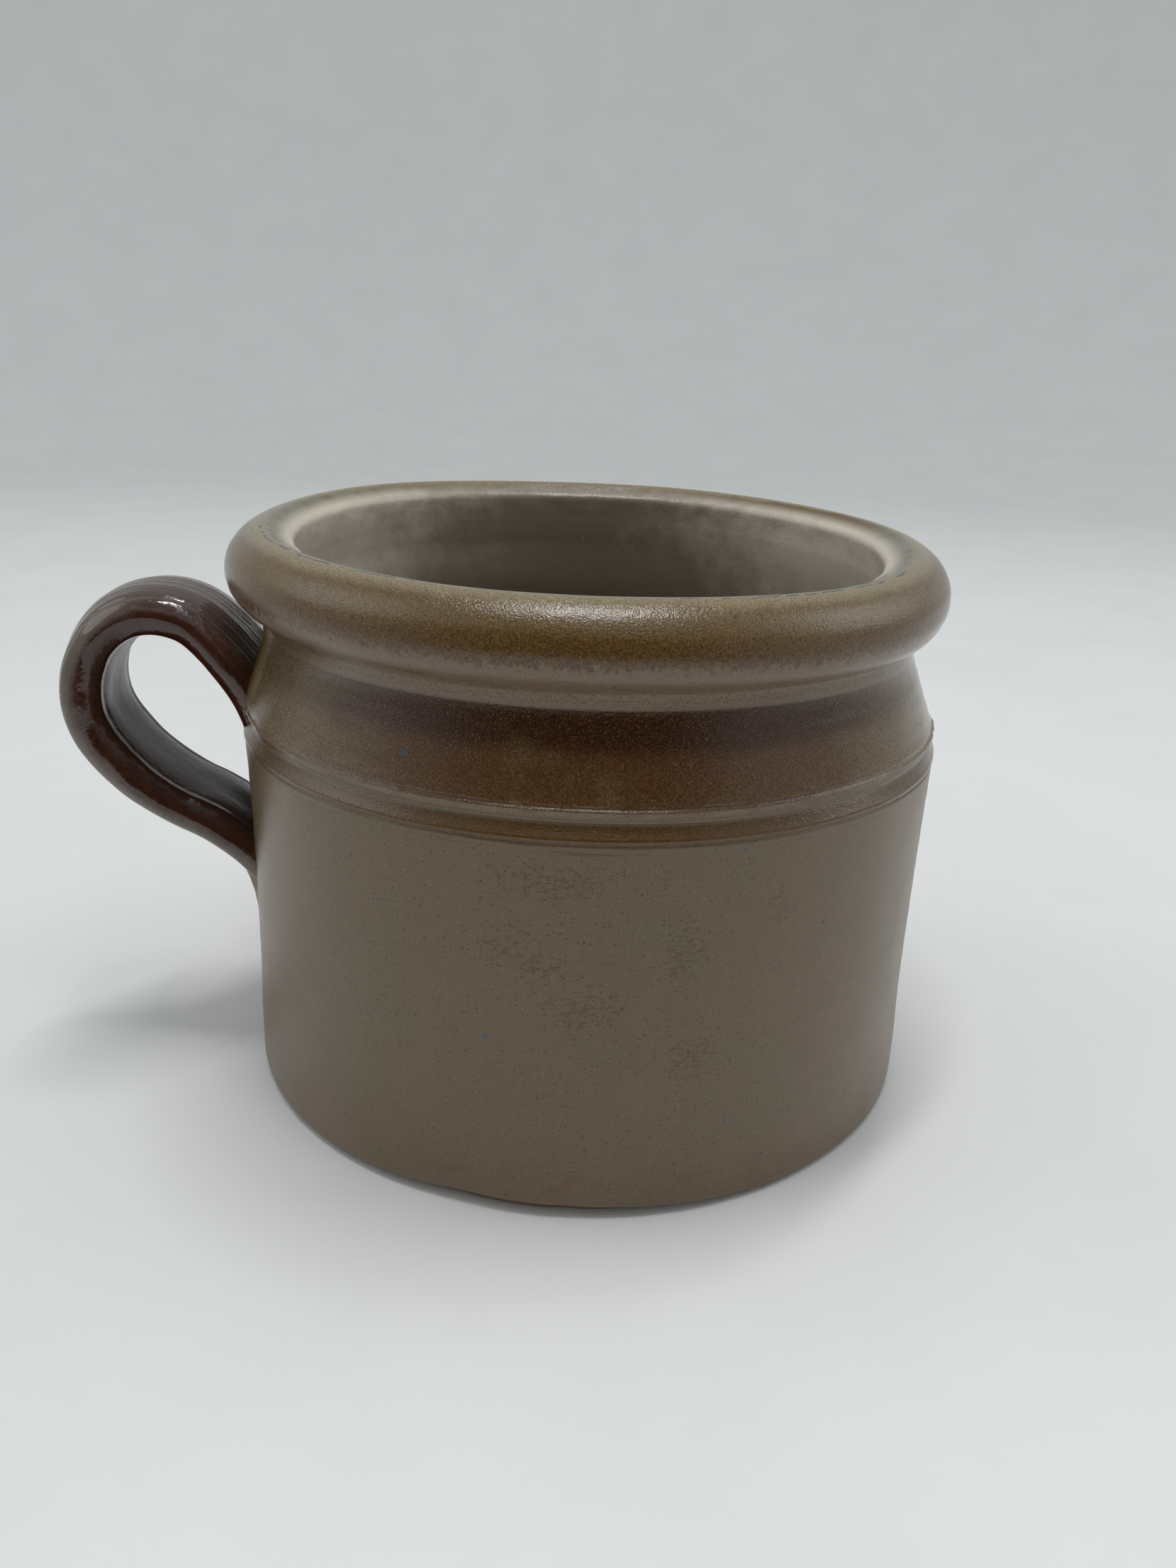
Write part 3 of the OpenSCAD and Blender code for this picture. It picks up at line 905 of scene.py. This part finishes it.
def strap_glaze():
    """The handle's darker glaze, streaked along the strap and thin along its edges, with mauve on the
    outer face and grey on the lower arm that are partly painted reflections.
    """
    g = Graph("strap_salt_glaze")
    outer, along, across = g.attribute("outer"), g.attribute("along"), g.attribute("across")
    streak = g.noise(1.3, 3, 0.6, at=g.join(g.mul(along, 0.12), across, outer))
    cloud = g.noise(6, 4, 0.6)
    grain = g.noise(0.6, 2, 0.6)
    edge = g.step(STRAP_W * 0.40, STRAP_W * 0.50, g.maths("ABSOLUTE", across))
    worn = g.add(g.mul(edge, 0.30), g.add(g.mul(cloud, 0.6), g.mul(grain, 0.4)))
    colour = g.mix(g.step(0.60, 0.95, worn), STRAP_DARK, STRAP_BROWN)
    colour = g.mix(g.mul(g.step(0.55, 0.75, streak), 0.4), colour, STRAP_BROWN)
    mottle = g.add(g.swing(cloud, 0.9), g.swing(grain, 0.6))
    facing = g.add(outer, mottle)
    # Mauve grey on the outer face: partly the glaze, partly a painted reflection of the bright room
    # above.
    colour = g.mix(g.mul(g.step(0.30, 0.85, facing), 0.75), colour, STRAP_MAUVE_SHEEN)
    lower_arm = g.mul(g.step(32, 42, along), g.step(-0.15, 0.40, facing))
    # Grey on the lower arm's side: partly the glaze, partly a painted reflection of the floor.
    colour = g.mix(g.mul(lower_arm, 0.8), colour, STRAP_GREY_FLOOR_SHEEN)
    inner_face = g.step(-0.80, -0.98, outer)
    colour = g.mix(g.mul(inner_face, 0.8), colour, STRAP_INNER)
    tail = g.step(90, 97, g.add(along, g.mul(mottle, 6)))
    colour = g.mix(g.mul(tail, 0.8), colour, WALL_OLIVE)
    colour = g.mix(g.mul(g.specks(2.2, 0.25, 0.25), 0.7), colour, IRON)
    rough = g.add(g.blend(inner_face, 0.05, 0.26), g.mul(g.noise(4, 3, 0.6), 0.14))
    lumps = g.add(g.mul(g.noise(1.1, 2, 0.5), 0.8), g.mul(cloud, 0.8))
    g.shader.inputs["IOR"].default_value = STRAP_IOR
    return g.finish(colour, rough, g.add(g.mul(streak, 0.2), lumps), STRAP_RELIEF)


def dress(ob, material, slot, *nodes):
    """Gives a piece its material and body, and hides the CAD nodes it stands for. slot is not used."""
    ob.data.materials.append(material)
    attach(ob, "root")
    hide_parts(*nodes)


# ---------------------------------------------------------------- the mug

body, outside_line = make_body()


def outer_radius(z):
    """The outline's outer radius at height z, between the foot and the roll."""
    keep = (outside_line[:, 1] > 1) & (outside_line[:, 1] < RING_Z + 2)
    line = outside_line[keep]
    order = np.argsort(line[:, 1], kind="stable")
    return np.interp(z, line[order, 1], line[order, 0])


dress(body, body_glaze("body_salt_glaze"), "body_glaze", "thrown_body")
dress(make_handle(), strap_glaze(), "handle_glaze", "strap_handle")

luting = body_glaze("luting_salt_glaze", on_luting=True)
upper = make_luting("upper_smear", EDGE_Z + 2.0, 22, 13.5, upper_height)
dress(upper, luting, "luting_glaze", "upper_luting")
lower = make_luting("lower_smear", LOW_ROOT_Z - 3.5, 19, 13.5, lower_height)
dress(lower, luting, "luting_glaze", "lower_luting")

# ---------------------------------------------------------------- stage, light and camera

BOARD_COLOUR = (0.80, 0.81, 0.80)
BOARD_ROUGH = 0.45
AIR_COLOUR = (0.87, 0.90, 0.93)
WORLD_LIGHT = 0.46
SCREEN_COLOUR = (0.02, 0.02, 0.02)
SCREEN_GLOW = (0.93, 0.96, 1.0)


def board_material():
    """The floor's painted board: near white, and faintly mottled."""
    g = Graph("studio_board")
    darker = tuple(0.965 * c for c in BOARD_COLOUR)
    tint = g.mix(g.step(0.3, 0.7, g.noise(60, 4, 0.6)), BOARD_COLOUR, darker)
    rough = g.add(BOARD_ROUGH, g.mul(g.noise(9, 3), 0.1))
    return g.finish(tint, rough, g.noise(1.5, 2), BOARD_RELIEF)


def make_stage():
    """A round studio floor that sweeps up into a wall all round, well clear of the mug, in metres."""
    flat, sweep, wall, cols = 1.0, 0.7, 0.5, 96
    line = [(r, 0) for r in np.linspace(0.02, flat, 12)]
    for t in np.linspace(0.06, math.pi / 2, 24):
        line.append((flat + sweep * math.sin(t), sweep * (1 - math.cos(t))))
    line.append((flat + sweep, sweep + wall))
    a = np.linspace(0, 2 * math.pi, cols, endpoint=False)
    verts = [(r * math.cos(t) / MM, r * math.sin(t) / MM, z / MM) for r, z in line for t in a]
    faces = grid_faces(len(line), cols)
    faces.append(tuple(range(cols)))
    floor = mesh_object("studio_floor", verts, faces, {})
    floor.data.materials.append(board_material())


def area_light(name, watts, at, aim_height, size, depth=None):
    """A softbox aimed at the mug's axis: round, or with a depth a rectangle. Lengths in metres."""
    light = bpy.data.lights.new(name, "AREA")
    light.shape = "RECTANGLE" if depth else "DISK"
    light.size = size
    light.size_y = depth or size
    light.energy = watts
    ob = bpy.data.objects.new(name, light)
    ob.location = at
    ob.rotation_mode = "QUATERNION"
    aim = Vector((0, 0, aim_height)) - Vector(at)
    ob.rotation_quaternion = aim.to_track_quat("-Z", "Y")
    ob.visible_camera = False
    bpy.context.scene.collection.objects.link(ob)


def make_flag():
    """A screen in front of the mug, dark in its middle and glowing towards its sides and top.

    It shows only in reflections, as a photographer and the room behind them do."""
    cols, rows = 32, 8
    reach, bottom, tall, spread = 320, 4, 550, 62
    verts = []
    for i in range(rows):
        for j in range(cols):
            a = -math.pi / 2 - VIEW_TURN + math.radians(spread * (2 * j / (cols - 1) - 1))
            z = bottom + tall * i / (rows - 1)
            verts.append((reach * math.cos(a), reach * math.sin(a), z))
    flag = mesh_object("dark_screen", verts, grid_faces(rows, cols, wrap=False), {})
    g = Graph("dark_cloth")
    side = g.step(120, 285, g.maths("ABSOLUTE", g.add(g.x, reach * math.sin(VIEW_TURN))))
    high = g.step(280, 540, g.z)
    g.put(g.shader.inputs["Base Color"], SCREEN_COLOUR)
    g.put(g.shader.inputs["Emission Color"], SCREEN_GLOW)
    g.put(g.shader.inputs["Emission Strength"], g.mul(g.most(side, high), 0.4))
    flag.data.materials.append(g.material)
    flag.visible_camera = False
    flag.visible_diffuse = False
    flag.visible_shadow = False


def make_world():
    world = bpy.data.worlds.new("studio_air")
    world.use_nodes = True
    back = world.node_tree.nodes["Background"]
    back.inputs["Color"].default_value = (*AIR_COLOUR, 1)
    back.inputs["Strength"].default_value = WORLD_LIGHT
    bpy.context.scene.world = world


# The camera's distance from the centre of the base in rim radii, its lens and its sensor's long
# side in mm, and its angles in degrees: above the floor, tipped up from that centre, and leaning.
CAMERA_REACH, CAMERA_LENS, SENSOR = 3.9285, 27.03, 36
CAMERA_ABOVE, CAMERA_TIP, CAMERA_LEAN = 30.69, 10.96, -2.217


def make_camera():
    """The photograph's viewpoint: close to the mug, above it and a little to the handle's side."""
    distance = CAMERA_REACH * RIM_R * MM
    above, pitch, roll = map(math.radians, (CAMERA_ABOVE, CAMERA_TIP, CAMERA_LEAN))
    place = Vector((0, -distance * math.cos(above), distance * math.sin(above)))
    forward = Vector((0, math.cos(above), -math.sin(above)))
    right = Vector((1, 0, 0))
    up = right.cross(forward)
    tip = Matrix.Rotation(pitch, 3, right)
    forward, up = tip @ forward, tip @ up
    lean = Matrix.Rotation(roll, 3, forward)
    right, up = lean @ right, lean @ up
    axes = Matrix((right, up, -forward)).transposed().to_4x4()
    camera = bpy.data.cameras.new("camera")
    camera.sensor_width = SENSOR
    camera.lens = CAMERA_LENS
    camera.clip_start = 0.01
    camera.clip_end = 20
    ob = bpy.data.objects.new("camera", camera)
    ob.matrix_world = Matrix.Rotation(-VIEW_TURN, 4, "Z") @ Matrix.Translation(place) @ axes
    bpy.context.scene.collection.objects.link(ob)
    bpy.context.scene.camera = ob


make_stage()
make_flag()
make_world()
area_light("overhead", 1.1, (0.08, 0.02, 1.15), 0.05, size=1.1, depth=0.2)
area_light("lamp", 4.2, (-0.02, 0.02, 1.14), 0.05, size=0.56, depth=0.07)
area_light("small_lamp", 0.6, (0.07, -0.17, 1.10), 0.05, size=0.12)
area_light("left_softbox", 1.6, (-1.0, 0.1, 0.75), 0.08, size=0.8)
area_light("right_softbox", 2.2, (1.0, 0.1, 0.75), 0.08, size=0.8)
make_camera()
bpy.context.scene.view_settings.view_transform = "Standard"
